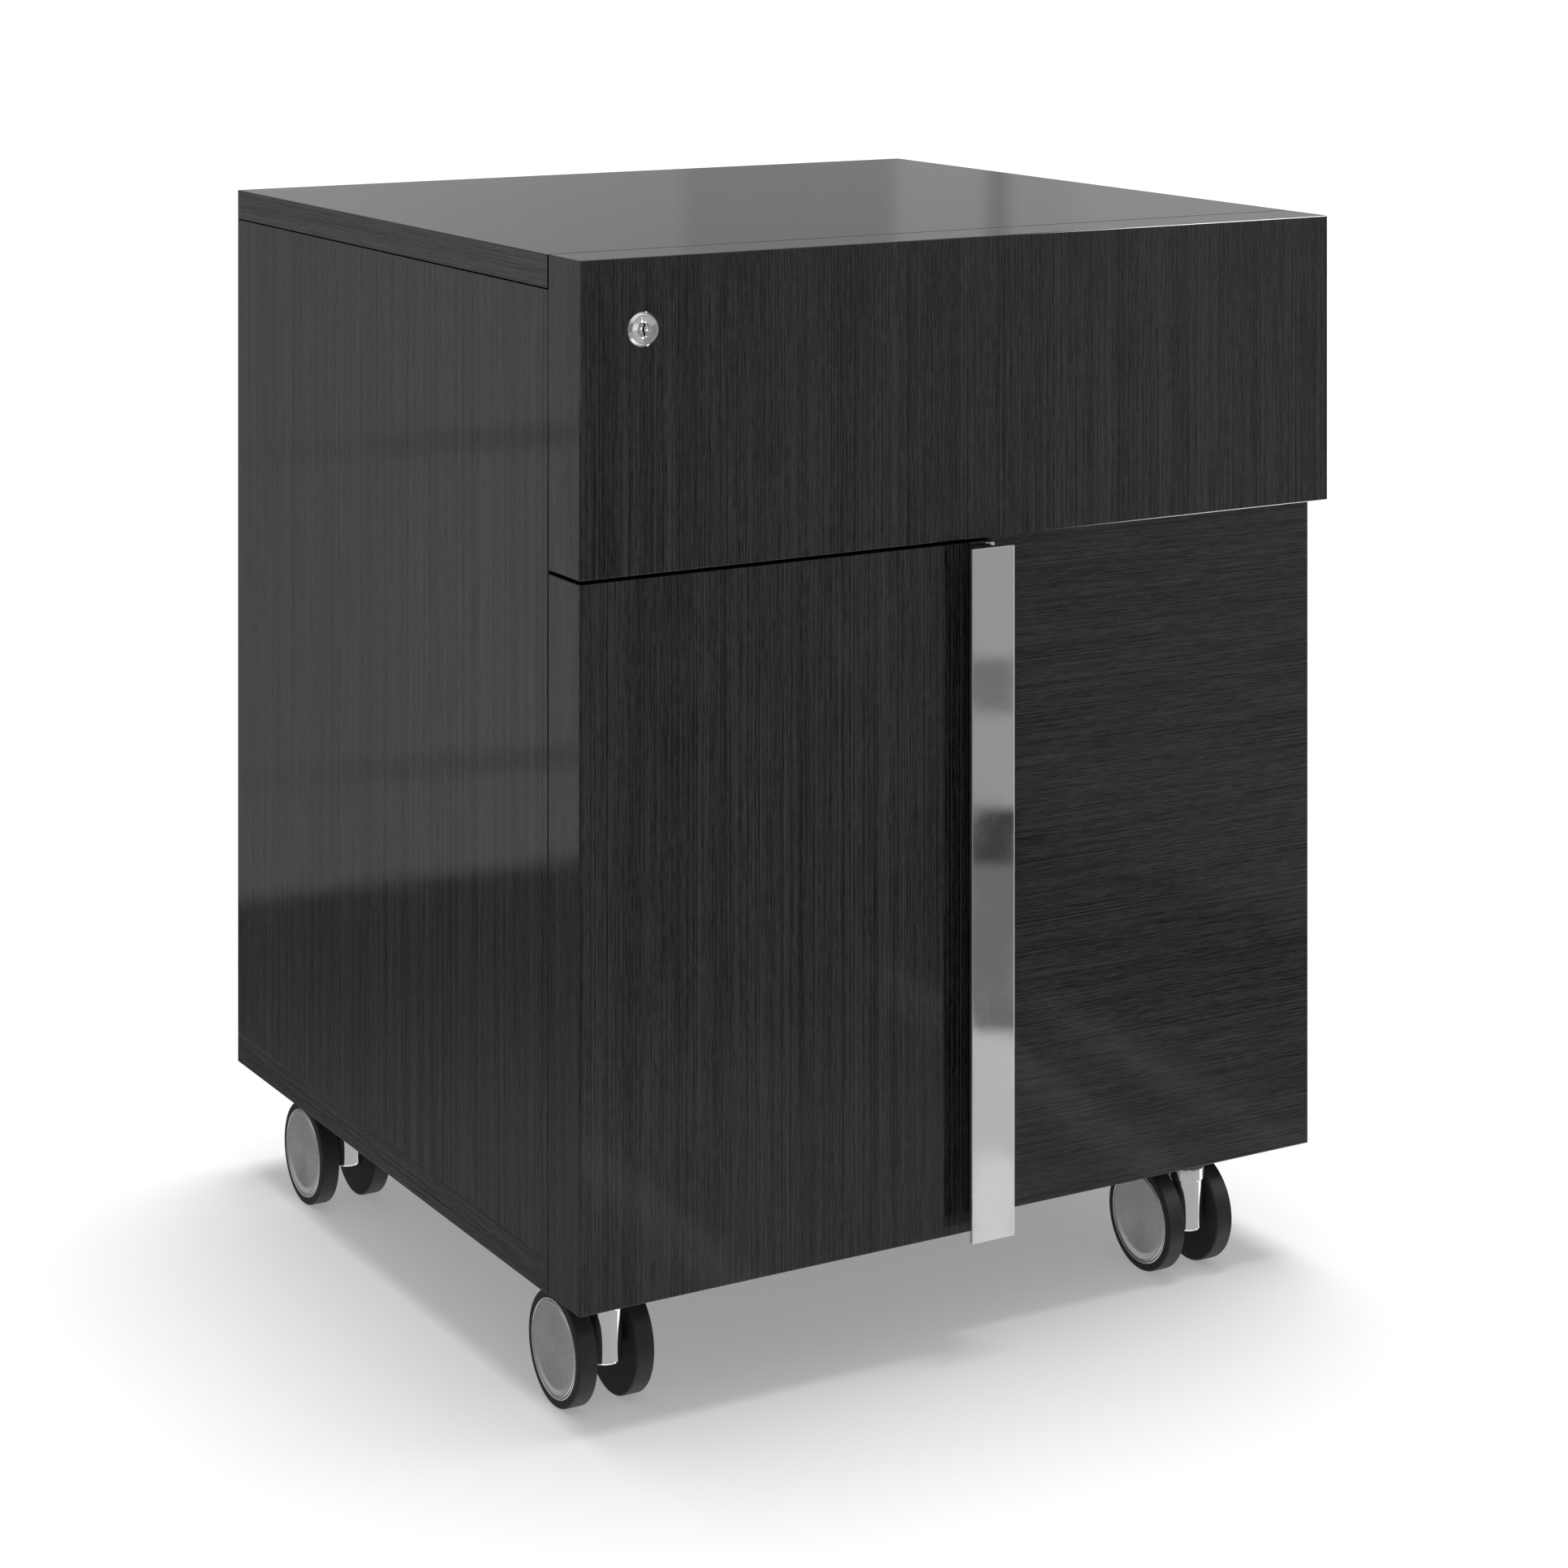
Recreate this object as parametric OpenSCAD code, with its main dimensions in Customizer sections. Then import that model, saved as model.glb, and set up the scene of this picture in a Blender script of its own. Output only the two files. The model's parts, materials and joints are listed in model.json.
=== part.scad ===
// Rolling pedestal cabinet with a lockable top drawer and a file drawer, on twin-wheel casters.
// Millimetres. X to the right, Y to the back, Z up. The origin is on the floor, in the middle of
// the overall footprint, handle included. The fronts face -Y.

/* [Casing] */
// Width of the casing
body_w = 482; // [440:1:560]
// Depth from the fronts to the back, without the handle
body_d = 468; // [464:1:600]
// Height of the casing, without the casters
body_h = 540; // [530:1:640]
// Thickness of the casing boards
board_t = 18; // [16:1:20]
// Thickness of the back panel
back_t = 8; // [5:1:10]

/* [Fronts] */
// Height of the top drawer's front
top_front_h = 163.8; // [150:0.1:180]
// Gap between the two fronts
front_gap = 1.8; // [1:0.1:3]
// Thickness of a full front
front_t = 36; // [34:1:40]
// How far the right part of the lower front is set back
set_back = 18; // [12:1:20]
// Width of the thick left part of the lower front
thick_w = 252.6; // [240:0.1:270]
// Gap between the closed fronts and the casing
seam = 0.6; // [0.3:0.1:1]

/* [Handle] */
// Width of the handle's front plate
handle_w = 27.4; // [24:0.1:36]
// How far the handle stands out from the front
handle_out = 15; // [12:0.5:20]
// Thickness of the front plate
plate_t = 2.5; // [2:0.1:3]
// Thickness of the web between plate and front
web_t = 7.2; // [6:0.1:9]

/* [Lock] */
// Distance from the left edge to the lock
lock_in = 36.5; // [30:0.5:44]
// Distance from the top edge to the lock
lock_down = 37.2; // [30:0.1:40]
// Radius of the bezel
bezel_r = 9.2; // [8.6:0.1:11]

/* [Drawers] */
// Length of a drawer box and of its slides
box_len = 400; // [350:10:400]
// Thickness of the drawer boards
side_t = 12; // [10:1:15]
// Height of the top drawer's box
top_box_h = 86; // [70:1:90]
// Height of the file drawer's box
file_box_h = 262; // [220:1:280]

/* [Casters] */
// Radius of a wheel
wheel_r = 30; // [28:0.5:32]
// Gap between wheels and casing
wheel_gap = 3.3; // [3:0.1:6]
// Width over both wheels of a caster
twin_w = 44.2; // [44:0.1:48]
// Width of one wheel
wheel_w = 11; // [10:0.1:11]
// Distance from the swivel axis back to the axle
trail = 16; // [12:1:18]
// From the left side to the left casters
caster_left = 30.9; // [30:0.1:80]
// From the right side to the right casters
caster_right = 76.9; // [30:0.1:80]
// From the fronts to the front casters
caster_front = 31.5; // [30:0.5:60]
// From the back to the rear casters
caster_back = 99.5; // [60:0.5:120]

/* [Hidden] */
$fn = 64;

// Casing
left_x = -body_w / 2;
right_x = body_w / 2;
front_y = -(body_d - handle_out) / 2;
back_y = (body_d + handle_out) / 2;
base_z = 2 * wheel_r + wheel_gap;
top_z = base_z + body_h;
casing_y = front_y + front_t + seam;
board_mid = right_x - board_t / 2;
inner_x = right_x - board_t;
inner_z0 = base_z + board_t;
inner_z1 = top_z - board_t;
back_inset = 2;

// Joinery of the casing
dowel_r = 4;
dowel_len = 32;
dowel_in = 12;
dowel_slack = 0.5;
dowel_from_edge = 60;
dowel_ys = [casing_y + dowel_from_edge, back_y - dowel_from_edge];
cam_r = 7.5;
cam_deep = 12.5;
cam_from_end = 34;
bolt_r = 3;
bolt_in = 11;
bolt_from_edge = 100;
bolt_ys = [casing_y + bolt_from_edge, back_y - bolt_from_edge];
fit = 0.05;

// Slides: a cabinet member, a middle member and a drawer member, nested
slide_t = 12.7;
slide_end_gap = 3;
slide_y = casing_y + slide_end_gap;
slide_len = box_len - 2 * slide_end_gap;
top_slide_down = 98;
top_slide_z = top_z - top_slide_down;
file_slide_up = 100;
file_slide_z = base_z + file_slide_up;
sheet_t = 1.4;
cabinet_member_h = 45;
middle_member_h = 37.6;
drawer_member_h = 30.4;
rail_screw_from_end = 35;
rail_screw_ys = [
    for (at = [rail_screw_from_end, slide_len / 2, slide_len - rail_screw_from_end]) slide_y + at
];
rail_screw_r = 1.8;
rail_screw_len = 9;
rail_head_r = 3.4;
rail_head_t = 1.6;

// Drawer boxes
box_x = inner_x - slide_t;
box_y = front_y + front_t;
box_back = box_y + box_len;
top_box_down = 55.3;
top_box_z = top_z - top_box_down - top_box_h;
file_box_up = 14;
file_box_z = inner_z0 + file_box_up;
groove_deep = 6;
groove_up = 10;
groove_slack = 0.1;
bottom_t = 5;
front_screw_r = 2;
front_screw_len = 26;
front_screw_x = 150;
head_r = 4;
head_t = 2.2;
strip_t = 1.5;
strip_from_end = 4;
strip_lap = 10;
strip_rise = 13;

// Fronts
under_gap = 0.6;
file_front_z = base_z + under_gap;
file_front_top = top_z - top_front_h - front_gap;
top_front_z = top_z - top_front_h;
thick_x = left_x + thick_w;

// Handle
handle_off_centre = 1.4;
handle_x = -handle_w / 2 + handle_off_centre;
web_in = 9.8;
web_x = handle_x + web_in;
flange_t = 2;
flange_short = 1;
handle_corner = 3;
handle_z = base_z;
handle_top_gap = 0.6;
handle_top = file_front_top - handle_top_gap;
handle_screw_zs = [for (k = [0.1, 0.5, 0.9]) handle_z + k * (handle_top - handle_z)];
handle_screw_x = web_x + web_t / 2;
handle_screw_in = 9;
handle_screw_hole_r = 2.2;
counterbore_r = 4.2;
counterbore_deep = 3.2;

// Lock, measured back from the face of the front
lock_x = left_x + lock_in;
lock_z = top_z - lock_down;
barrel_r = 7.5;
barrel_past_front = 9;
barrel_back = front_t + barrel_past_front;
nut_r = 11.5;
nut_t = 4;
plug_r = 3.85;
plug_face = -1.6;
ridge_r = 7.5;
ridge_out = 2.4;
bezel_edge = 0.5;
dimple_r = 2.3;
dimple_deep = 0.5;
key_slot = 1.2;
key_deep = 23;
lock_cam_gap = 0.3;
lock_cam_t = 2.5;
lock_cam_w = 14;
lock_cam_len = 27;
lock_cam_y = barrel_back + lock_cam_gap;
tail = 5;
tail_back = lock_cam_y + lock_cam_t + 0.7;
tail_screw_r = 1.5;
tail_screw_in = 7;

// Casters. A plate reaches from its swivel axis mostly to the back, under the bottom panel
caster_plate_t = 2;
plate_z = base_z - caster_plate_t;
plate_half_w = 19;
plate_front = 6.5;
plate_rear = 48;
plate_screw_spots = [for (x = [-13, 13]) for (y = [14, 40]) [x, y]];
plate_screw_r = 1.75;
plate_screw_in = 13;
plate_head_r = 3.45;
plate_hole_in = 12;
pintle_r = 4;
swivel_gap = 0.3;
stem_r = 9.2;
stem_len = 37.6;
stem_z = base_z - stem_len;
stem_edge = 1.4;
stem_floor = 6;
pintle_z = stem_z + stem_floor + swivel_gap;
collar_r = 10;
collar_h = 6.7;
arm_half_w = 6;
arm_h = 20;
hub_r = 7;
hub_half = 9;
axle_r = 2.5;
axle_fit = 0.02;
axle_short = 3.9;
axle_half = twin_w / 2 - axle_short;
wheel_in = twin_w / 2 - wheel_w;
shoulder = 1.2;
boss_r = 7;
cap_r = 25.7;
cap_deep = 3.4;
left_cx = left_x + caster_left;
right_cx = right_x - caster_right;
front_cy = front_y + caster_front;
rear_cy = back_y - caster_back;
caster_spots = [for (x = [left_cx, right_cx]) for (y = [front_cy, rear_cy]) [x, y]];

// ---- Shapes used more than once ----

module block(low, high) {
    translate(low) cube(high - low);
}

module rod_x(at, r, len) {
    translate(at) rotate([0, 90, 0]) cylinder(r = r, h = len);
}

module rod_y(at, r, len) {
    translate(at) rotate([-90, 0, 0]) cylinder(r = r, h = len);
}

module rod_z(at, r, len) {
    translate(at) cylinder(r = r, h = len);
}

// A thing on the right side of the cabinet and its mirror image on the left
module both_sides() {
    children();
    mirror([1, 0, 0]) children();
}

// ---- Casing ----

wood = [0.13, 0.13, 0.135];
steel = [0.62, 0.63, 0.65];
chrome = [0.82, 0.83, 0.85];
inner_board = [0.2, 0.2, 0.21];

// Blind holes for dowels and bolts in the face of a horizontal board that ends at z
module end_board_holes(z, up) {
    both_sides() {
        for (y = dowel_ys)
            rod_z([board_mid, y, up ? z : z - dowel_in], dowel_r + fit, dowel_in);
        for (y = bolt_ys)
            rod_z([board_mid, y, up ? z : z - bolt_in], bolt_r + fit, bolt_in);
    }
}

// Pocket in the underside of the top panel that the turned lock cam enters
module cam_pocket() {
    block([lock_x - lock_cam_w / 2 - 1, front_y + lock_cam_y - 1.5, inner_z1 - 1],
          [lock_x + lock_cam_len - 5, front_y + lock_cam_y + lock_cam_t + 1.5,
           lock_z + lock_cam_len + 2.5]);
}

module top_panel() {
    color(wood) difference() {
        block([left_x, casing_y, inner_z1], [right_x, back_y, top_z]);
        end_board_holes(inner_z1, true);
        cam_pocket();
    }
}

module bottom_panel() {
    color(wood) difference() {
        block([left_x, casing_y, base_z], [right_x, back_y, inner_z0]);
        end_board_holes(inner_z0, false);
        for (spot = caster_spots)
            translate([spot[0], spot[1], 0])
                for (s = plate_screw_spots)
                    rod_z([s[0], s[1], base_z], plate_screw_r + fit, plate_hole_in);
    }
}

// The right side panel, with the holes that its dowels, connectors and rail screws need
module side_panel() {
    color(wood) difference() {
        block([inner_x, casing_y, inner_z0], [right_x, back_y, inner_z1]);
        for (y = dowel_ys) for (z = [inner_z0, inner_z1 - dowel_len + dowel_in])
            rod_z([board_mid, y, z], dowel_r + fit, dowel_len - dowel_in);
        for (y = bolt_ys) {
            for (z = [inner_z0, inner_z1 - cam_from_end])
                rod_z([board_mid, y, z], bolt_r + fit, cam_from_end);
            for (z = [inner_z0 + cam_from_end, inner_z1 - cam_from_end])
                rod_x([inner_x, y, z], cam_r + fit, cam_deep);
        }
        for (z = [top_slide_z, file_slide_z]) for (y = rail_screw_ys)
            rod_x([inner_x, y, z], rail_screw_r + fit, rail_screw_len);
    }
}

module right_side_panel() side_panel();

module left_side_panel() mirror([1, 0, 0]) side_panel();

module back_panel() {
    color(inner_board)
        block([-inner_x, back_y - back_inset - back_t, inner_z0],
              [inner_x, back_y - back_inset, inner_z1]);
}

module panel_dowels() {
    color("burlywood") both_sides()
        for (y = dowel_ys) for (z = [inner_z0 - dowel_in, inner_z1 - dowel_len + dowel_in])
            rod_z([board_mid, y, z + dowel_slack], dowel_r, dowel_len - 2 * dowel_slack);
}

// A round cam in the side panel and the bolt that it pulls; way is 1 where the bolt points up
module cam_connector(y, z, way) {
    difference() {
        rod_x([inner_x + 0.2, y, z], cam_r, cam_deep - 0.5);
        rod_z([board_mid, y, way > 0 ? z - 2 : z - cam_r - 1],
              bolt_r + 0.3, cam_r + 3);
        block([inner_x - 1, y - 4, z - 0.6], [inner_x + 1.2, y + 4, z + 0.6]);
    }
    translate([board_mid, y, z]) mirror([0, 0, way > 0 ? 0 : 1])
        rod_z([0, 0, -1.5], bolt_r, cam_from_end + bolt_in + 1);
}

module cam_connectors() {
    color(steel) both_sides() for (y = bolt_ys) {
        cam_connector(y, inner_z0 + cam_from_end, -1);
        cam_connector(y, inner_z1 - cam_from_end, 1);
    }
}

// ---- Slides ----

// A channel along the slide, between two distances from the side panel. Its web is at web,
// its two flanges run from near to far at half the given height.
module channel(web, near, far, height, z) {
    y0 = slide_y;
    y1 = slide_y + slide_len;
    block([inner_x - web - sheet_t, y0, z - height / 2], [inner_x - web, y1, z + height / 2]);
    for (edge = [z - height / 2, z + height / 2 - sheet_t])
        block([inner_x - far, y0, edge], [inner_x - near, y1, edge + sheet_t]);
}

module screw_row_holes(x, z) {
    for (y = rail_screw_ys) rod_x([x, y, z], rail_screw_r + fit, sheet_t + 2);
}

module cabinet_member(z) {
    difference() {
        channel(0, 0, 9.4, cabinet_member_h, z);
        screw_row_holes(inner_x - sheet_t - 1, z);
    }
}

module middle_member(z) {
    channel(4.6, 2.4, 8.4, middle_member_h, z);
}

module drawer_member(z) {
    difference() {
        channel(slide_t - sheet_t, 6.6, slide_t, drawer_member_h, z);
        screw_row_holes(box_x - 1, z);
    }
}

module rail_screws(z, head_x, way) {
    for (y = rail_screw_ys) translate([head_x, y, z]) mirror([way > 0 ? 0 : 1, 0, 0]) {
        rod_x([0, 0, 0], rail_screw_r, sheet_t + rail_screw_len - 1);
        rod_x([-rail_head_t, 0, 0], rail_head_r, rail_head_t);
    }
}

module cabinet_rails() {
    color(steel) both_sides() {
        cabinet_member(top_slide_z);
        cabinet_member(file_slide_z);
    }
}

module cabinet_rail_screws() {
    color(chrome) both_sides() {
        rail_screws(top_slide_z, inner_x - sheet_t, 1);
        rail_screws(file_slide_z, inner_x - sheet_t, 1);
    }
}

module top_middle_rails() {
    color(steel) both_sides() middle_member(top_slide_z);
}

module file_middle_rails() {
    color(steel) both_sides() middle_member(file_slide_z);
}

module top_drawer_rails() {
    color(steel) both_sides() drawer_member(top_slide_z);
}

module file_drawer_rails() {
    color(steel) both_sides() drawer_member(file_slide_z);
}

module top_drawer_rail_screws() {
    color(chrome) both_sides() rail_screws(top_slide_z, box_x + sheet_t, -1);
}

module file_drawer_rail_screws() {
    color(chrome) both_sides() rail_screws(file_slide_z, box_x + sheet_t, -1);
}

// ---- Drawer boxes ----

// The space that the drawer bottom takes, grown by slack
module bottom_slab(z, slack) {
    reach = groove_deep - 2 * groove_slack + slack;
    block([-box_x + side_t - reach, box_y + side_t - reach, z + groove_up - slack],
          [box_x - side_t + reach, box_back - side_t + reach, z + groove_up + bottom_t + slack]);
}

module box_sides(z, h, slide_z) {
    both_sides() difference() {
        block([box_x - side_t, box_y, z], [box_x, box_back, z + h]);
        bottom_slab(z, groove_slack);
        for (y = rail_screw_ys)
            rod_x([box_x - rail_screw_len, y, slide_z], rail_screw_r + fit, rail_screw_len);
    }
}

module cross_boards(z, h) {
    difference() {
        for (y = [box_y, box_back - side_t])
            block([-box_x + side_t, y, z], [box_x - side_t, y + side_t, z + h]);
        bottom_slab(z, groove_slack);
        for (x = [-front_screw_x, front_screw_x]) for (up = screw_heights(h))
            rod_y([x, box_y - 1, z + up], front_screw_r + 0.2, side_t + 2);
    }
}

// Heights of the front's two screw rows above the lower edge of a box
function screw_heights(h) = [h * 0.38, h * 0.82];

module front_screws(z, h) {
    for (x = [-front_screw_x, front_screw_x]) for (up = screw_heights(h)) {
        rod_y([x, box_y + side_t - front_screw_len, z + up], front_screw_r, front_screw_len);
        rod_y([x, box_y + side_t, z + up], head_r, head_t);
    }
}

module front_screw_holes(z, h) {
    for (x = [-front_screw_x, front_screw_x]) for (up = screw_heights(h))
        rod_y([x, box_y - 15, z + up], front_screw_r + fit, 16);
}

module top_drawer_sides() {
    color(inner_board) box_sides(top_box_z, top_box_h, top_slide_z);
}

module top_drawer_cross_boards() {
    color(inner_board) cross_boards(top_box_z, top_box_h);
}

module top_drawer_bottom() {
    color(inner_board) bottom_slab(top_box_z, 0);
}

module top_front_screws() {
    color(chrome) front_screws(top_box_z, top_box_h);
}

module file_drawer_sides() {
    color(inner_board) box_sides(file_box_z, file_box_h, file_slide_z);
}

module file_drawer_cross_boards() {
    color(inner_board) cross_boards(file_box_z, file_box_h);
}

module file_drawer_bottom() {
    color(inner_board) bottom_slab(file_box_z, 0);
}

module file_front_screws() {
    color(chrome) front_screws(file_box_z, file_box_h);
}

// A strip that clips over the top edge of each file drawer side and carries the folder hooks
module hanging_rails() {
    edge = file_box_z + file_box_h;
    inside = box_x - side_t;
    start = box_y + side_t + strip_from_end;
    end = box_back - side_t - strip_from_end;
    color(steel) both_sides() difference() {
        union() {
            block([inside - strip_t, start, edge - strip_lap], [box_x + strip_t, end, edge + strip_t]);
            block([inside - strip_t, start, edge], [inside + 1, end, edge + strip_rise]);
        }
        block([inside, box_y, edge - strip_lap - 1], [box_x, box_back, edge]);
    }
}

// ---- Fronts ----

module top_drawer_front() {
    color(wood) difference() {
        block([left_x, front_y, top_front_z], [right_x, front_y + front_t, top_z]);
        rod_y([lock_x, front_y - 1, lock_z], barrel_r + fit, front_t + 2);
        front_screw_holes(top_box_z, top_box_h);
    }
}

module file_front_left() {
    color(wood) difference() {
        block([left_x, front_y, file_front_z], [thick_x, front_y + front_t, file_front_top]);
        front_screw_holes(file_box_z, file_box_h);
        for (z = handle_screw_zs) {
            rod_y([handle_screw_x, front_y - 1, z], handle_screw_hole_r, front_t + 2);
            rod_y([handle_screw_x, front_y + front_t - counterbore_deep, z],
                  counterbore_r, counterbore_deep + 1);
        }
    }
}

module file_front_right() {
    color(wood) difference() {
        block([thick_x, front_y + set_back, file_front_z],
              [right_x, front_y + front_t, file_front_top]);
        front_screw_holes(file_box_z, file_box_h);
    }
}

// Section of the handle in X and Y: plate, web with hollow corners, and the flange at its right
module handle_section() {
    plate_back = front_y - handle_out + plate_t;
    translate([handle_x, front_y - handle_out]) square([handle_w, plate_t]);
    translate([web_x, plate_back]) square([web_t, handle_out - plate_t]);
    translate([web_x, front_y - flange_t]) square([thick_x - flange_short - web_x, flange_t]);
    difference() {
        translate([web_x - handle_corner, plate_back])
            square([web_t + 2 * handle_corner, handle_corner]);
        for (x = [web_x - handle_corner, web_x + web_t + handle_corner])
            translate([x, plate_back + handle_corner]) circle(handle_corner);
    }
}

module handle() {
    color(chrome) difference() {
        translate([0, 0, handle_z]) linear_extrude(handle_top - handle_z) handle_section();
        for (z = handle_screw_zs)
            rod_y([handle_screw_x, front_y - handle_screw_in - 1, z],
                  front_screw_r + fit, handle_screw_in + 2);
    }
}

module handle_screws() {
    color(steel) for (z = handle_screw_zs) {
        rod_y([handle_screw_x, front_y - handle_screw_in, z],
              front_screw_r, handle_screw_in + front_t - 2.5);
        rod_y([handle_screw_x, front_y + front_t - 3, z], head_r, 2.8);
    }
}

// ---- Lock ----

// Turns a section in radius and height into a body on the lock's axis, height towards the back
module on_lock_axis() {
    translate([lock_x, front_y, lock_z]) rotate([-90, 0, 0]) children();
}

module lock_barrel() {
    color(chrome) on_lock_axis() rotate_extrude() polygon([
        [plug_r + fit, barrel_back], [plug_r + fit, plug_face + 0.1],
        [ridge_r - 0.25, -ridge_out], [ridge_r + 0.25, -ridge_out],
        [bezel_r, -bezel_edge], [bezel_r, 0], [barrel_r, 0], [barrel_r, barrel_back]
    ]);
}

module lock_nut() {
    color(steel) on_lock_axis() difference() {
        translate([0, 0, front_t]) cylinder(r = nut_r, h = nut_t, $fn = 6);
        cylinder(r = barrel_r + fit, h = barrel_back);
    }
}

// A stepped slot for the key, in a shallow dimple
module keyway() {
    translate([0, 0, plug_face - 0.1])
        cylinder(r1 = dimple_r + 0.2, r2 = dimple_r / 2, h = dimple_deep + 0.1);
    for (step = [[0.15, -3.15, 1.75], [-0.25, -1.65, 3.3], [0.15, 1.4, 1.75]])
        translate([step[0] - key_slot / 2, step[1], plug_face - 1])
            cube([key_slot, step[2], key_deep + 1]);
}

module lock_plug() {
    color(chrome) on_lock_axis() difference() {
        union() {
            translate([0, 0, plug_face]) cylinder(r = plug_r, h = barrel_back - plug_face);
            translate([-tail / 2, -tail / 2, barrel_back - 1])
                cube([tail, tail, tail_back - barrel_back + 1]);
        }
        keyway();
        translate([0, 0, tail_back - tail_screw_in - 1])
            cylinder(r = tail_screw_r + fit, h = tail_screw_in + 2);
    }
}

// Points to the right when open, and up into the pocket of the top panel when locked
module lock_cam() {
    hole = tail + 2 * fit;
    color(steel) on_lock_axis() translate([0, 0, lock_cam_y]) difference() {
        union() {
            cylinder(r = lock_cam_w / 2, h = lock_cam_t);
            translate([0, -lock_cam_w / 2, 0]) cube([lock_cam_len, lock_cam_w, lock_cam_t]);
        }
        translate([-hole / 2, -hole / 2, -1]) cube([hole, hole, lock_cam_t + 2]);
    }
}

module lock_cam_screw() {
    color(chrome) on_lock_axis() {
        translate([0, 0, tail_back - tail_screw_in]) cylinder(r = tail_screw_r, h = tail_screw_in + 1);
        translate([0, 0, tail_back]) cylinder(r = head_r, h = head_t);
    }
}

// ---- Casters ----

module caster_plates() {
    color(steel) for (spot = caster_spots) translate([spot[0], spot[1], 0]) {
        difference() {
            block([-plate_half_w, -plate_front, plate_z], [plate_half_w, plate_rear, base_z]);
            for (s = plate_screw_spots) translate([s[0], s[1], plate_z])
                cylinder(r1 = plate_head_r + 0.15, r2 = plate_screw_r + 0.15, h = caster_plate_t);
        }
        rod_z([0, 0, pintle_z], pintle_r, plate_z - pintle_z);
    }
}

module caster_plate_screws() {
    color(chrome) for (spot = caster_spots) for (s = plate_screw_spots)
        translate([spot[0] + s[0], spot[1] + s[1], plate_z]) {
            cylinder(r1 = plate_head_r, r2 = plate_screw_r, h = caster_plate_t);
            cylinder(r = plate_screw_r, h = plate_screw_in);
        }
}

// Upright body with a rounded lower edge, hollow for the pintle, and the hub for the axle
module housing() {
    top = plate_z - swivel_gap;
    color(chrome) difference() {
        union() {
            rotate_extrude() {
                translate([0, stem_z]) square([stem_r - stem_edge, stem_edge]);
                translate([0, stem_z + stem_edge]) square([stem_r, top - stem_z - stem_edge]);
                translate([stem_r - stem_edge, stem_z + stem_edge]) circle(stem_edge);
                translate([0, top - collar_h]) square([collar_r, collar_h]);
            }
            block([-arm_half_w, 0, stem_z], [arm_half_w, trail, stem_z + arm_h]);
            rod_x([-hub_half, trail, wheel_r], hub_r, 2 * hub_half);
        }
        rod_z([0, 0, stem_z + stem_floor], pintle_r + fit, stem_len);
        rod_x([-hub_half - 1, trail, wheel_r], axle_r + axle_fit, 2 * hub_half + 2);
    }
}

module axle() {
    color(steel) rod_x([-axle_half, trail, wheel_r], axle_r, 2 * axle_half);
}

// Half of a wheel's section: radius, and distance from the middle of the caster
module wheel_section() {
    outer = twin_w / 2;
    cap_in = outer - cap_deep;
    translate([cap_r, wheel_in]) square([wheel_r - shoulder - cap_r, wheel_w]);
    translate([wheel_r - shoulder, wheel_in + shoulder]) square([shoulder, wheel_w - 2 * shoulder]);
    for (side = [wheel_in + shoulder, outer - shoulder])
        translate([wheel_r - shoulder, side]) circle(shoulder);
    bore = axle_r + fit;
    translate([bore, wheel_in]) square([cap_r + 1 - bore, cap_in - wheel_in]);
    translate([bore, hub_half + swivel_gap]) square([boss_r - bore, cap_in - hub_half - swivel_gap]);
}

// A wheel at the right of its caster's middle when way is 1, at the left when it is -1
module on_axle(way) {
    translate([0, trail, wheel_r]) rotate([0, way * 90, 0]) rotate_extrude() children();
}

module wheel(way) {
    color([0.16, 0.16, 0.165]) on_axle(way) wheel_section();
}

// Hub cap: a thin rim, a groove, a raised bead and a dished middle
module cap(way) {
    outer = twin_w / 2;
    r = cap_r - 0.05;
    color([0.45, 0.45, 0.46]) on_axle(way) polygon([
        [0, outer - cap_deep + 0.15], [r, outer - cap_deep + 0.15], [r, outer + 0.1],
        [r - 0.25, outer + 0.35], [r - 0.75, outer + 0.35], [r - 1, outer + 0.1],
        [r - 1, outer - 0.9], [r - 1.6, outer - 0.9], [r - 1.6, outer - 0.1],
        [r - 2, outer + 0.3], [r - 2.8, outer + 0.35], [r - 4.2, outer - 0.1],
        [r - 6, outer - 0.4], [0, outer - 1.1]
    ]);
}

module at_caster(x, y) {
    translate([x, y, 0]) children();
}

module front_left_housing() at_caster(left_cx, front_cy) housing();
module front_left_axle() at_caster(left_cx, front_cy) axle();
module front_left_wheel_a() at_caster(left_cx, front_cy) wheel(-1);
module front_left_cap_a() at_caster(left_cx, front_cy) cap(-1);
module front_left_wheel_b() at_caster(left_cx, front_cy) wheel(1);
module front_left_cap_b() at_caster(left_cx, front_cy) cap(1);

module front_right_housing() at_caster(right_cx, front_cy) housing();
module front_right_axle() at_caster(right_cx, front_cy) axle();
module front_right_wheel_a() at_caster(right_cx, front_cy) wheel(-1);
module front_right_cap_a() at_caster(right_cx, front_cy) cap(-1);
module front_right_wheel_b() at_caster(right_cx, front_cy) wheel(1);
module front_right_cap_b() at_caster(right_cx, front_cy) cap(1);

module rear_left_housing() at_caster(left_cx, rear_cy) housing();
module rear_left_axle() at_caster(left_cx, rear_cy) axle();
module rear_left_wheel_a() at_caster(left_cx, rear_cy) wheel(-1);
module rear_left_cap_a() at_caster(left_cx, rear_cy) cap(-1);
module rear_left_wheel_b() at_caster(left_cx, rear_cy) wheel(1);
module rear_left_cap_b() at_caster(left_cx, rear_cy) cap(1);

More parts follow.
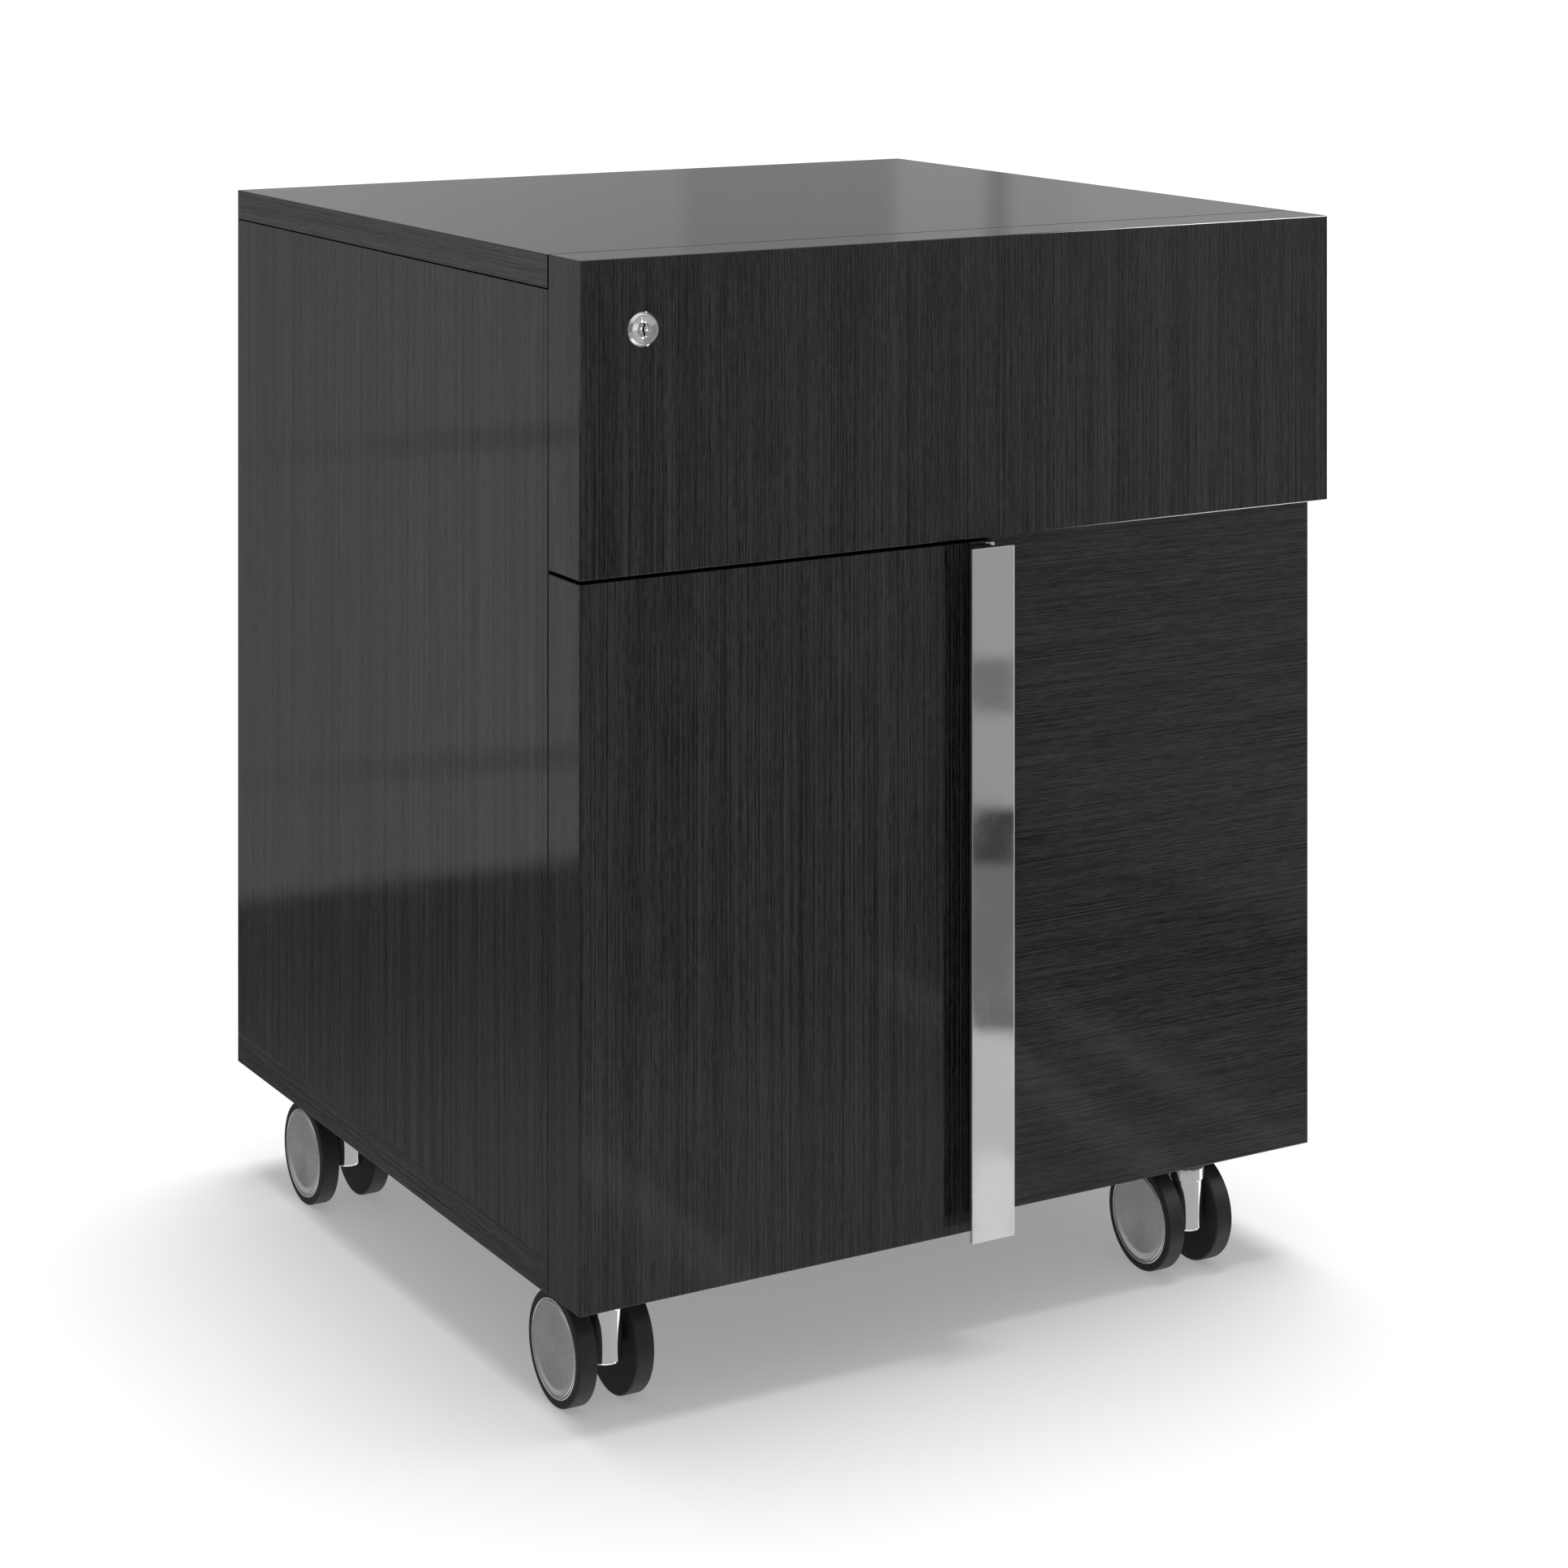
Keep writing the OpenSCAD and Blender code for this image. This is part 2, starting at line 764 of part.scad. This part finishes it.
module rear_right_housing() at_caster(right_cx, rear_cy) housing();
module rear_right_axle() at_caster(right_cx, rear_cy) axle();
module rear_right_wheel_a() at_caster(right_cx, rear_cy) wheel(-1);
module rear_right_cap_a() at_caster(right_cx, rear_cy) cap(-1);
module rear_right_wheel_b() at_caster(right_cx, rear_cy) wheel(1);
module rear_right_cap_b() at_caster(right_cx, rear_cy) cap(1);

top_panel();
bottom_panel();
left_side_panel();
right_side_panel();
back_panel();
panel_dowels();
cam_connectors();
cabinet_rails();
cabinet_rail_screws();
caster_plates();
caster_plate_screws();
top_drawer_front();
top_drawer_sides();
top_drawer_cross_boards();
top_drawer_bottom();
top_drawer_rails();
top_drawer_rail_screws();
top_front_screws();
top_middle_rails();
lock_barrel();
lock_nut();
lock_plug();
lock_cam();
lock_cam_screw();
file_front_left();
file_front_right();
handle();
handle_screws();
file_front_screws();
file_drawer_sides();
file_drawer_cross_boards();
file_drawer_bottom();
hanging_rails();
file_drawer_rails();
file_drawer_rail_screws();
file_middle_rails();
front_left_housing();
front_left_axle();
front_left_wheel_a();
front_left_cap_a();
front_left_wheel_b();
front_left_cap_b();
front_right_housing();
front_right_axle();
front_right_wheel_a();
front_right_cap_a();
front_right_wheel_b();
front_right_cap_b();
rear_left_housing();
rear_left_axle();
rear_left_wheel_a();
rear_left_cap_a();
rear_left_wheel_b();
rear_left_cap_b();
rear_right_housing();
rear_right_axle();
rear_right_wheel_a();
rear_right_cap_a();
rear_right_wheel_b();
rear_right_cap_b();
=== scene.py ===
import json
import math

import bpy
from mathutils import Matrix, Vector


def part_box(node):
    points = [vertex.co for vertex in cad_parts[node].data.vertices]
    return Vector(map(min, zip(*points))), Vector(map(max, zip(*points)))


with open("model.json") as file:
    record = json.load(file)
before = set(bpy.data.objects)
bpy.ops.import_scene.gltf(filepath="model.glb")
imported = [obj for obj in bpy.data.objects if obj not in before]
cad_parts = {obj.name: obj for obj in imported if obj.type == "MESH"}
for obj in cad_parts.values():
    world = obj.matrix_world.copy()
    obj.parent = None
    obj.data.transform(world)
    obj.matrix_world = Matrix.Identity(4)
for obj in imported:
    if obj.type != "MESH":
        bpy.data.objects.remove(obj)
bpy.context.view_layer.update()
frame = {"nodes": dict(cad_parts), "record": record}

# The looks of the rolling pedestal cabinet: materials, rounded edges, floor, light and camera.
# Everything is in metres in the frame's own axes; the fronts face -Y.

nodes = frame["nodes"]
MM = 0.001
VENEER_TONE = 0.0185
AXES = {"X": 0, "Y": 1, "Z": 2}


# ---- Node trees ----

class Tree:
    """Builds a node tree with short calls. Every call returns an output socket."""

    def __init__(self, tree):
        self.tree = tree
        tree.nodes.clear()

    def add(self, kind, inputs, out=0, **settings):
        node = self.tree.nodes.new("ShaderNode" + kind)
        for name, value in settings.items():
            setattr(node, name, value)
        for key, value in inputs.items():
            if isinstance(value, bpy.types.NodeSocket):
                self.tree.links.new(value, node.inputs[key])
            else:
                node.inputs[key].default_value = value
        return node.outputs[out] if node.outputs else None

    def math(self, operation, a, b=0.0, c=0.0):
        return self.add("Math", {0: a, 1: b, 2: c}, operation=operation)

    def vector(self, operation, a, b=(0, 0, 0), out=0):
        return self.add("VectorMath", {0: a, 1: b}, out, operation=operation)

    def mix(self, factor, a, b):
        return self.add("Mix", {0: factor, 2: a, 3: b}, data_type="FLOAT")

    def mix_vector(self, factor, a, b):
        return self.add("Mix", {0: factor, 4: a, 5: b}, 1, data_type="VECTOR")

    def mix_colour(self, factor, a, b):
        return self.add("Mix", {0: factor, 6: a, 7: b}, 2, data_type="RGBA")

    def step(self, value, low, high, to_low=0.0, to_high=1.0):
        """Eases from to_low at low to to_high at high."""
        ends = {1: low, 2: high, 3: to_low, 4: to_high}
        return self.add("MapRange", {0: value, **ends}, interpolation_type="SMOOTHSTEP")

    def window(self, value, low, high, blur):
        """1 between low and high, easing to 0 over blur on both sides."""
        rise = self.step(value, low - blur, low + blur)
        fall = self.step(value, high - blur, high + blur, 1.0, 0.0)
        return self.math("MULTIPLY", rise, fall)

    def noise(self, vector, detail=2.0, roughness=0.5, scale=1.0):
        inputs = {"Vector": vector, "Detail": detail, "Roughness": roughness, "Scale": scale}
        return self.add("TexNoise", inputs)

    def bump(self, height, depth, normal=None, strength=1.0):
        inputs = {"Height": height, "Distance": depth, "Strength": strength}
        if normal is not None:
            inputs["Normal"] = normal
        return self.add("Bump", inputs)

    def surface(self, **values):
        """The material's only shader. Names are the shader's own, with _ for a space."""
        inputs = {name.replace("_", " "): value for name, value in values.items()}
        shader = self.add("BsdfPrincipled", inputs)
        self.add("OutputMaterial", {"Surface": shader})


def grey(level, tint=0.0):
    """A neutral colour; a positive tint leans to blue."""
    return (level * (1 - tint), level, level * (1 + tint), 1)


def new_material(name):
    material = bpy.data.materials.new(name)
    material.use_nodes = True
    return material, Tree(material.node_tree)


def place(tree):
    """The point on the object, in millimetres."""
    return tree.vector("MULTIPLY", tree.add("TexCoord", {}, 3), (1 / MM,) * 3)


# ---- Materials ----

def scale_along(axis, across, along):
    """Texture scale with features as wide as across and, in the axis's direction, as long as along."""
    return tuple(1 / along if k == AXES[axis] else 1 / across for k in range(3))


# The layers of streaks in the veneer: width and length of a streak in millimetres, finer octaves
# added to it, and how strongly it darkens or lightens
FIBRES = ((10, 700, 1, 0.4), (0.7, 500, 2, 1.8), (0.8, 45, 2, 1.0), (0.6, 8, 1, 0.95))


def veneer(name, grain, end_grain, shift, seams):
    """Black stained veneer under gloss lacquer. The fibres follow grain, and end_grain on the faces
    that grain runs into, where an edge strip is laid along the edge. At each seam, a plane given by
    its axis and its place in metres, a dark line of painted shade stands in for the shadow in the gap
    between the boards, and the lacquer coat is left off along that line."""
    material, t = new_material(name)
    spot = place(t)
    point = t.vector("ADD", spot, shift)
    facing = t.vector("ABSOLUTE", t.add("TexCoord", {}, 1))
    is_end = t.math("GREATER_THAN", t.add("SeparateXYZ", {0: facing}, AXES[grain]), 0.7)

    def layer(across, along, detail, roughness=0.5):
        scale = t.mix_vector(is_end, scale_along(grain, across, along),
                             scale_along(end_grain, across, along))
        return t.noise(t.vector("MULTIPLY", point, scale), detail, roughness)

    tone = 0.5
    for across, along, detail, strength in FIBRES:
        offset = t.math("SUBTRACT", layer(across, along, detail, 0.6), 0.5)
        tone = t.math("MULTIPLY_ADD", offset, strength, tone)
    tone = t.step(tone, 0.0, 1.0)
    # Painted shade: the colour goes black along each seam in place of the shadow in the gap between
    # boards, and the coat is left off there
    painted_seam_shade = 0.0
    for axis, at in seams:
        away = t.math("ABSOLUTE", t.math("SUBTRACT", t.add("SeparateXYZ", {0: spot}, AXES[axis]),
                                         at / MM))
        painted_seam_shade = t.math("MAXIMUM", t.step(away, 0.3, 0.5, 1.0, 0.0), painted_seam_shade)
    outside_seam_shade = t.math("SUBTRACT", 1.0, painted_seam_shade)
    colour = t.mix_colour(t.math("MULTIPLY", tone, outside_seam_shade), grey(0.0),
                          grey(2 * VENEER_TONE, 0.01))
    pores = t.bump(tone, 0.02 * MM, strength=0.35)
    peel = t.bump(t.noise(point, 1, 0.4, 0.055), 0.012 * MM)
    smudge = t.step(t.noise(point, 3, 0.6, 0.02), 0.35, 0.75, 0.02, 0.055)
    t.surface(Base_Color=colour, Roughness=0.5, Specular_IOR_Level=0.0, Normal=pores,
              Coat_Weight=outside_seam_shade, Coat_IOR=1.5, Coat_Roughness=smudge, Coat_Normal=peel)
    return material


def melamine(name):
    """Dark grey melamine of the inner boards, with a faint linear print and a matt, pebbled face."""
    material, t = new_material(name)
    point = place(t)
    print_lines = t.noise(t.vector("MULTIPLY", point, scale_along("Y", 1.4, 60)), 3, 0.55)
    tone = t.step(print_lines, 0.3, 0.7, 0.75, 1.2)
    colour = t.mix_colour(tone, grey(0.0), grey(0.055, 0.03))
    pebble = t.bump(t.noise(point, 2, 0.5, 1.1), 0.03 * MM)
    t.surface(Base_Color=colour, Roughness=t.step(print_lines, 0.2, 0.8, 0.42, 0.56),
              Specular_IOR_Level=0.4, Normal=pebble)
    return material


def beech(name):
    """Raw beech with its short dark flecks."""
    material, t = new_material(name)
    point = place(t)
    flecks = t.noise(t.vector("MULTIPLY", point, scale_along("Z", 0.5, 3)), 2)
    rings = t.noise(t.vector("MULTIPLY", point, scale_along("Z", 2.5, 60)), 2)
    base = t.mix_colour(rings, (0.55, 0.36, 0.2, 1), (0.7, 0.52, 0.33, 1))
    colour = t.mix_colour(t.step(flecks, 0.55, 0.68), base, (0.3, 0.17, 0.08, 1))
    t.surface(Base_Color=colour, Roughness=0.7, Normal=t.bump(flecks, 0.05 * MM))
    return material


def polished_chrome(name, wave):
    """Polished chrome. Its mirror image wavers with a period of about wave millimetres."""
    material, t = new_material(name)
    point = place(t)
    haze = t.noise(point, 4, 0.6, 0.03)
    rubbed = t.noise(t.vector("MULTIPLY", point, scale_along("Z", 0.35, 18)), 2, 0.6)
    roughness = t.math("ADD", t.step(haze, 0.3, 0.8, 0.015, 0.05),
                       t.step(rubbed, 0.62, 0.75, 0.0, 0.05))
    ripple = t.bump(t.noise(point, 1, 0.4, 1 / wave), 0.004 * MM)
    colour = t.mix_colour(haze, grey(0.86, 0.008), grey(0.92, 0.008))
    t.surface(Base_Color=colour, Metallic=1.0, Roughness=roughness, Normal=ripple)
    return material


def zinc(name):
    """Zinc plated sheet: drawn lines along Y and faint crystal patches."""
    material, t = new_material(name)
    point = place(t)
    drawn = t.noise(t.vector("MULTIPLY", point, scale_along("Y", 0.4, 55)), 3, 0.6)
    patch = t.add("TexVoronoi", {"Vector": point, "Scale": 0.11}, 1, feature="F1")
    patch = t.add("SeparateColor", {0: patch})
    colour = t.mix_colour(t.math("MULTIPLY", drawn, patch), grey(0.52, 0.02), grey(0.64, 0.015))
    roughness = t.math("ADD", t.step(patch, 0.0, 1.0, 0.3, 0.35), t.step(drawn, 0.3, 0.7, 0.0, 0.08))
    t.surface(Base_Color=colour, Metallic=1.0, Roughness=roughness,
              Normal=t.bump(drawn, 0.01 * MM))
    return material


def bright_steel(name):
    """Plated steel of screws and pins, with tool marks round the turned faces."""
    material, t = new_material(name)
    point = place(t)
    marks = t.noise(point, 3, 0.6, 2.5)
    colour = t.mix_colour(marks, grey(0.5, 0.01), grey(0.72, 0.01))
    t.surface(Base_Color=colour, Metallic=1.0, Roughness=t.step(marks, 0.3, 0.7, 0.18, 0.34),
              Normal=t.bump(marks, 0.01 * MM))
    return material


def wheel_plastic(name):
    """Dark grey tread plastic: fine moulded grain, a mould line and dusty spots."""
    material, t = new_material(name)
    point = place(t)
    grain = t.noise(point, 2, 0.6, 1.8)
    dust = t.step(t.noise(point, 4, 0.65, 0.09), 0.52, 0.78)
    colour = t.mix_colour(t.math("MULTIPLY", dust, 0.5), grey(0.026, 0.02), grey(0.05, 0.01))
    t.surface(Base_Color=colour, Roughness=t.step(grain, 0.3, 0.7, 0.42, 0.55),
              Specular_IOR_Level=0.2, Normal=t.bump(grain, 0.02 * MM))
    return material


def satin_metal(name):
    """Satin grey metal of the hub caps, spun about their axis, with a cloudy haze and shallow dents
    that break up its mirror image."""
    material, t = new_material(name)
    point = place(t)
    cloud = t.noise(point, 3, 0.6, 0.05)
    fine = t.noise(point, 2, 0.6, 3.0)
    dents = t.noise(point, 1, 0.5, 0.13)
    colour = t.mix_colour(cloud, grey(0.68, 0.01), grey(0.85, 0.01))
    normal = t.bump(fine, 0.0004 * MM, t.bump(dents, 0.03 * MM))
    around = t.add("Tangent", {}, direction_type="RADIAL", axis="X")
    t.surface(Base_Color=colour, Metallic=0.9, Roughness=t.step(fine, 0.3, 0.7, 0.2, 0.3),
              Anisotropic=0.7, Tangent=around, Normal=normal)
    return material


# The material of each slot in the record, apart from the boards
SLOT_MATERIALS = {
    "grey_board": melamine("grey_melamine"),
    "beech": beech("raw_beech"),
    "zinc_steel": zinc("zinc_plate"),
    "screw_steel": bright_steel("screw_steel"),
    "chrome": polished_chrome("polished_chrome", 60),
    "caster_chrome": polished_chrome("caster_chrome", 25),
    "wheel_plastic": wheel_plastic("tread_plastic"),
    "cap_metal": satin_metal("satin_cap"),
}

# The direction of the veneer's grain on each board and on the edges across it, and the sides of the
# board that meet another one in a seam, where a dark line of painted shade is drawn
BOARDS = {
    "top_panel": ("YX", ("Y-", "Z-")),
    "bottom_panel": ("YX", ()),
    "left_side_panel": ("ZY", ("Z+",)),
    "right_side_panel": ("ZY", ("Z+",)),
    "top_drawer_front": ("ZX", ()),
    "file_front_left": ("ZX", ()),
    "file_front_right": ("XZ", ()),
}


def dress(node, material):
    """Gives a CAD node its material. The mesh stays as it is: its slots point to the object's."""
    for slot in nodes[node].material_slots:
        slot.link = "OBJECT"
        slot.material = material


def dress_all():
    for number, (board, (grain, seams)) in enumerate(BOARDS.items()):
        shift = (311.0 * number, 173.0 * number, 97.0 * number)
        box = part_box(board)
        planes = [(side[0], box["-+".index(side[1])][AXES[side[0]]]) for side in seams]
        dress(board, veneer("veneer_" + board, grain[0], grain[1], shift, planes))
    for part in frame["record"]["subparts"]:
        if part["node"] not in BOARDS:
            dress(part["node"], SLOT_MATERIALS[part["material_slot"]])


# ---- Rounded edges ----

# Radius in millimetres of the edges of each slot's pieces, and of the pieces with finer edges
EDGE_ROUND = {
    "black_wood": 0.6, "grey_board": 0.5, "beech": 0.4, "zinc_steel": 0.2, "screw_steel": 0.15,
    "chrome": 0.4, "caster_chrome": 0.3, "wheel_plastic": 0.3, "cap_metal": 0.1,
}
FINE_EDGES = {"lock_barrel": 0.15, "lock_plug": 0.08}


def round_edges():
    """Rounds every piece's sharp edges, as on the real thing, so that they catch the light."""
    for part in frame["record"]["subparts"]:
        piece = nodes[part["node"]]
        weld = piece.modifiers.new("weld", "WELD")
        weld.merge_threshold = 0.002 * MM
        flat = piece.modifiers.new("flat_faces", "DECIMATE")
        flat.decimate_type = "DISSOLVE"
        flat.angle_limit = math.radians(0.05)
        bevel = piece.modifiers.new("bevel", "BEVEL")
        bevel.width = FINE_EDGES.get(part["node"], EDGE_ROUND[part["material_slot"]]) * MM
        bevel.segments = 2
        bevel.limit_method = "ANGLE"
        bevel.angle_limit = math.radians(35)
        bevel.use_clamp_overlap = False
        normals = piece.modifiers.new("normals", "WEIGHTED_NORMAL")
        normals.keep_sharp = True


# ---- Studio ----

FLOOR_TONE = 0.8
FLOOR_GLOW = 0.27
DOME = 0.375
OVERHEAD = 2.4
OVERHEAD_SPREAD = math.radians(36)
OVERHEAD_LEAN = (0.125, 0.125)
PAPER = (1, 1, 1, 1)


def add_floor():
    """A pale light table: it glows a little, so that the shadow under the cabinet stays light."""
    size = 60.0
    mesh = bpy.data.meshes.new("studio_floor")
    corners = [(-size, -size, 0), (size, -size, 0), (size, size, 0), (-size, size, 0)]
    mesh.from_pydata(corners, [], [(0, 1, 2, 3)])
    floor = bpy.data.objects.new("studio_floor", mesh)
    bpy.context.scene.collection.objects.link(floor)
    material, t = new_material("studio_floor")
    t.surface(Base_Color=grey(FLOOR_TONE), Roughness=0.9, Specular_IOR_Level=0.1,
              Emission_Color=PAPER, Emission_Strength=FLOOR_GLOW)
    mesh.materials.append(material)
    floor.visible_glossy = False


# The studio that polished surfaces mirror, as a brightness for each direction. Angles are in
# degrees. Azimuth 0 is behind the cabinet, 90 at its right and 180 in front of it.

# Windows, lamps and panels on the walls, later ones over earlier ones: azimuth from and to,
# softness of those edges, elevation from and to, softness of those edges, and brightness
PATCHES = (
    (92, 122, 8, -90, -7, 2, 1.15), (187, 210, 3, -13, 14, 2, 1.3),
    (15, 92, 6, -90, 90, 1, 0.34), (15, 25, 4, -90, 90, 1, 0.41),
    (28.5, 31.75, 0.25, -90, 90, 1, 0.29), (31.85, 60, 0.15, -90, 90, 1, 0.38),
    (33.2, 33.55, 0.2, -90, 90, 1, 0.27), (34.6, 60, 0.5, -90, 90, 1, 0.42),
)

# Elevation of the fine dark rails on the wall at the left, where their azimuth is RAIL_AT
RAILS = (-8.8, -13.6)
RAIL_AT = -24

# Light stripes on the floor in front: azimuth and elevation of the middle, rise in elevation for
# each degree of azimuth, half the height, and brightness
STRIPES = (
    (151.5, -20.5, 0.75, 0.35, 0.62), (145.6, -18.55, 0.62, 0.3, 0.6),
    (143.4, -18.45, 0.5, 0.22, 0.55),
)

# What stands opposite the polished handle, from the top down: the elevation at which each zone
# begins, and its brightness. The handle mirrors a narrow range of azimuth.
HANDLE_AZIMUTH = (146.35, 147.05)
HANDLE_WALL = 0.33
HANDLE_VIEW = (
    (-12.2, 0.17), (-13.0, 0.32), (-14.4, 0.05), (-15.2, 0.15), (-17.6, 0.5), (-19.3, 0.65),
)

NEAR_FLOOR = 1.0
CEILING = 0.7

# A small strong lamp above the front right and a weaker one below it, in the directions' own
# coordinates: X from and to, Y from and to, and the two brightnesses
LAMP_X = (0.57, 0.64)
LAMP_Y = (-0.75, -0.3)
UPPER_LAMP = 25.0
LOWER_LAMP = 12.0


def mirrored_studio(t):
    """The brightness that polished surfaces mirror, by direction: pale walls, a darker floor whose
    far edge is lowest at the right, light stripes on it, and a bright ceiling."""
    direction = t.add("TexCoord", {}, 0)
    x, y, z = (t.add("SeparateXYZ", {0: direction}, k) for k in range(3))
    azimuth = t.math("DEGREES", t.math("ARCTAN2", x, y))
    turned = t.math("WRAP", azimuth, 360.0, 0.0)
    elevation = t.math("DEGREES", t.math("ARCSINE", z))
    at_left = t.window(azimuth, -100, 60, 10)
    in_front = t.math("SUBTRACT", 1.0, at_left)

    def paint(level, brightness, mask, other=1.0):
        """Puts the brightness over level where both masks are 1."""
        return t.mix(t.math("MULTIPLY", mask, other), level, brightness)

    def above(line_azimuth, line_elevation, slope):
        """Degrees above a sloping line through the given point. It is level from 20 degrees of
        azimuth beyond that point."""
        along = azimuth if line_azimuth < 90 else turned
        along = t.math("MINIMUM", t.math("SUBTRACT", along, line_azimuth), 20.0)
        return t.math("SUBTRACT", t.math("SUBTRACT", elevation, line_elevation),
                      t.math("MULTIPLY", along, slope))

    # Walls: in front, behind the camera and at the left
    level = t.math("MULTIPLY", t.step(turned, 141, 153, 0.43, 0.26),
                   t.step(elevation, -12, -8, 0.88, 1.0))
    level = paint(level, 0.2, t.step(turned, 170, 195))
    level = paint(level, t.step(azimuth, -27, -21.5, 0.42, 0.32), t.window(azimuth, -80, 10, 6))
    for left, right, side_blur, low, high, blur, brightness in PATCHES:
        level = paint(level, brightness, t.window(turned, left, right, side_blur),
                      t.window(elevation, low, high, blur))
    for height in RAILS:
        rail = t.window(above(RAIL_AT, height, -0.05), -0.35, 0.0, 0.15)
        level = paint(level, 0.3, rail, t.window(azimuth, -60, 0, 4))
    # Floor: at the left and in front
    floor = t.step(above(RAIL_AT, -15.4, -0.09), -0.2, 0.2, 1.0, 0.0)
    level = paint(level, t.step(elevation, -20, -16, 0.2, 0.1), floor, at_left)
    floor = t.step(above(147.5, -14.3, 0.29), -0.3, 0.3, 1.0, 0.0)
    level = paint(level, t.step(elevation, -19.5, -16.5, 0.42, 0.24), floor, in_front)
    for at, height, slope, half, brightness in STRIPES:
        stripe = t.window(above(at, height, slope), -half, half, 0.2)
        level = paint(level, brightness, stripe, t.window(azimuth, at - 2.5, at + 2.5, 1.0))
    opposite = HANDLE_WALL
    for height, brightness in HANDLE_VIEW:
        below = t.step(elevation, height - 0.12, height + 0.12, 1.0, 0.0)
        opposite = paint(opposite, brightness, below)
    level = paint(level, opposite, t.window(azimuth, *HANDLE_AZIMUTH, 0.03))
    # Below and above
    level = paint(level, NEAR_FLOOR, t.step(elevation, -60, -42, 1.0, 0.0))
    level = paint(level, CEILING, t.step(elevation, 20, 55))
    lamp = t.math("MULTIPLY", t.window(x, *LAMP_X, 0.02), t.window(y, *LAMP_Y, 0.05))
    level = paint(level, UPPER_LAMP, lamp, t.step(z, 0.42, 0.47))
    return paint(level, LOWER_LAMP, lamp, t.step(z, -0.6, -0.5, 1.0, 0.0))


def light_studio():
    """Even light for matt surfaces, a plain paper-white backdrop and the mirrored studio."""
    world = bpy.data.worlds.new("studio")
    world.use_nodes = True
    bpy.context.scene.world = world
    t = Tree(world.node_tree)
    mirrored = t.add("Background", {0: mirrored_studio(t)})
    dome = t.add("Background", {0: PAPER, 1: DOME})
    backdrop = t.add("Background", {0: PAPER, 1: 1.0})
    is_camera = t.add("LightPath", {}, 0)
    is_glossy = t.add("LightPath", {}, 3)
    lighting = t.add("MixShader", {0: is_glossy, 1: dome, 2: mirrored})
    t.add("OutputWorld", {"Surface": t.add("MixShader", {0: is_camera, 1: lighting, 2: backdrop})})


def add_overhead_light():
    """A wide, even light from above, leaning to the back and the right."""
    data = bpy.data.lights.new("overhead", "SUN")
    data.energy = OVERHEAD
    data.angle = OVERHEAD_SPREAD
    light = bpy.data.objects.new("overhead", data)
    light.location = (*OVERHEAD_LEAN, 1.0)
    light.rotation_euler = light.location.to_track_quat("Z", "Y").to_euler()
    light.visible_glossy = False
    bpy.context.scene.collection.objects.link(light)


# ---- Camera ----

EYE = Vector((-1.0937, -1.9081, 0.8082))
TURN = math.radians(-30.06)
LENS = 84.72
RISE = -0.5897


def add_camera():
    """A level camera with its lens shifted down, as product photographs are taken, so that upright
    edges stay upright. The shift holds only at the camera's own place."""
    data = bpy.data.cameras.new("camera")
    data.sensor_width = 36.0
    data.lens = LENS
    camera = bpy.data.objects.new("camera", data)
    camera.location = EYE
    camera.rotation_euler = (math.pi / 2, 0, TURN)
    mark = bpy.data.objects.new("camera_mark", None)
    mark.location = EYE
    for thing in (camera, mark):
        bpy.context.scene.collection.objects.link(thing)
    driver = data.driver_add("shift_y").driver
    away = driver.variables.new()
    away.name = "away"
    away.type = "LOC_DIFF"
    away.targets[0].id = camera
    away.targets[1].id = mark
    driver.expression = f"{RISE} * (away < 0.001)"
    bpy.context.scene.camera = camera
    bpy.context.scene.view_settings.view_transform = "Standard"


dress_all()
round_edges()
add_floor()
light_studio()
add_overhead_light()
add_camera()
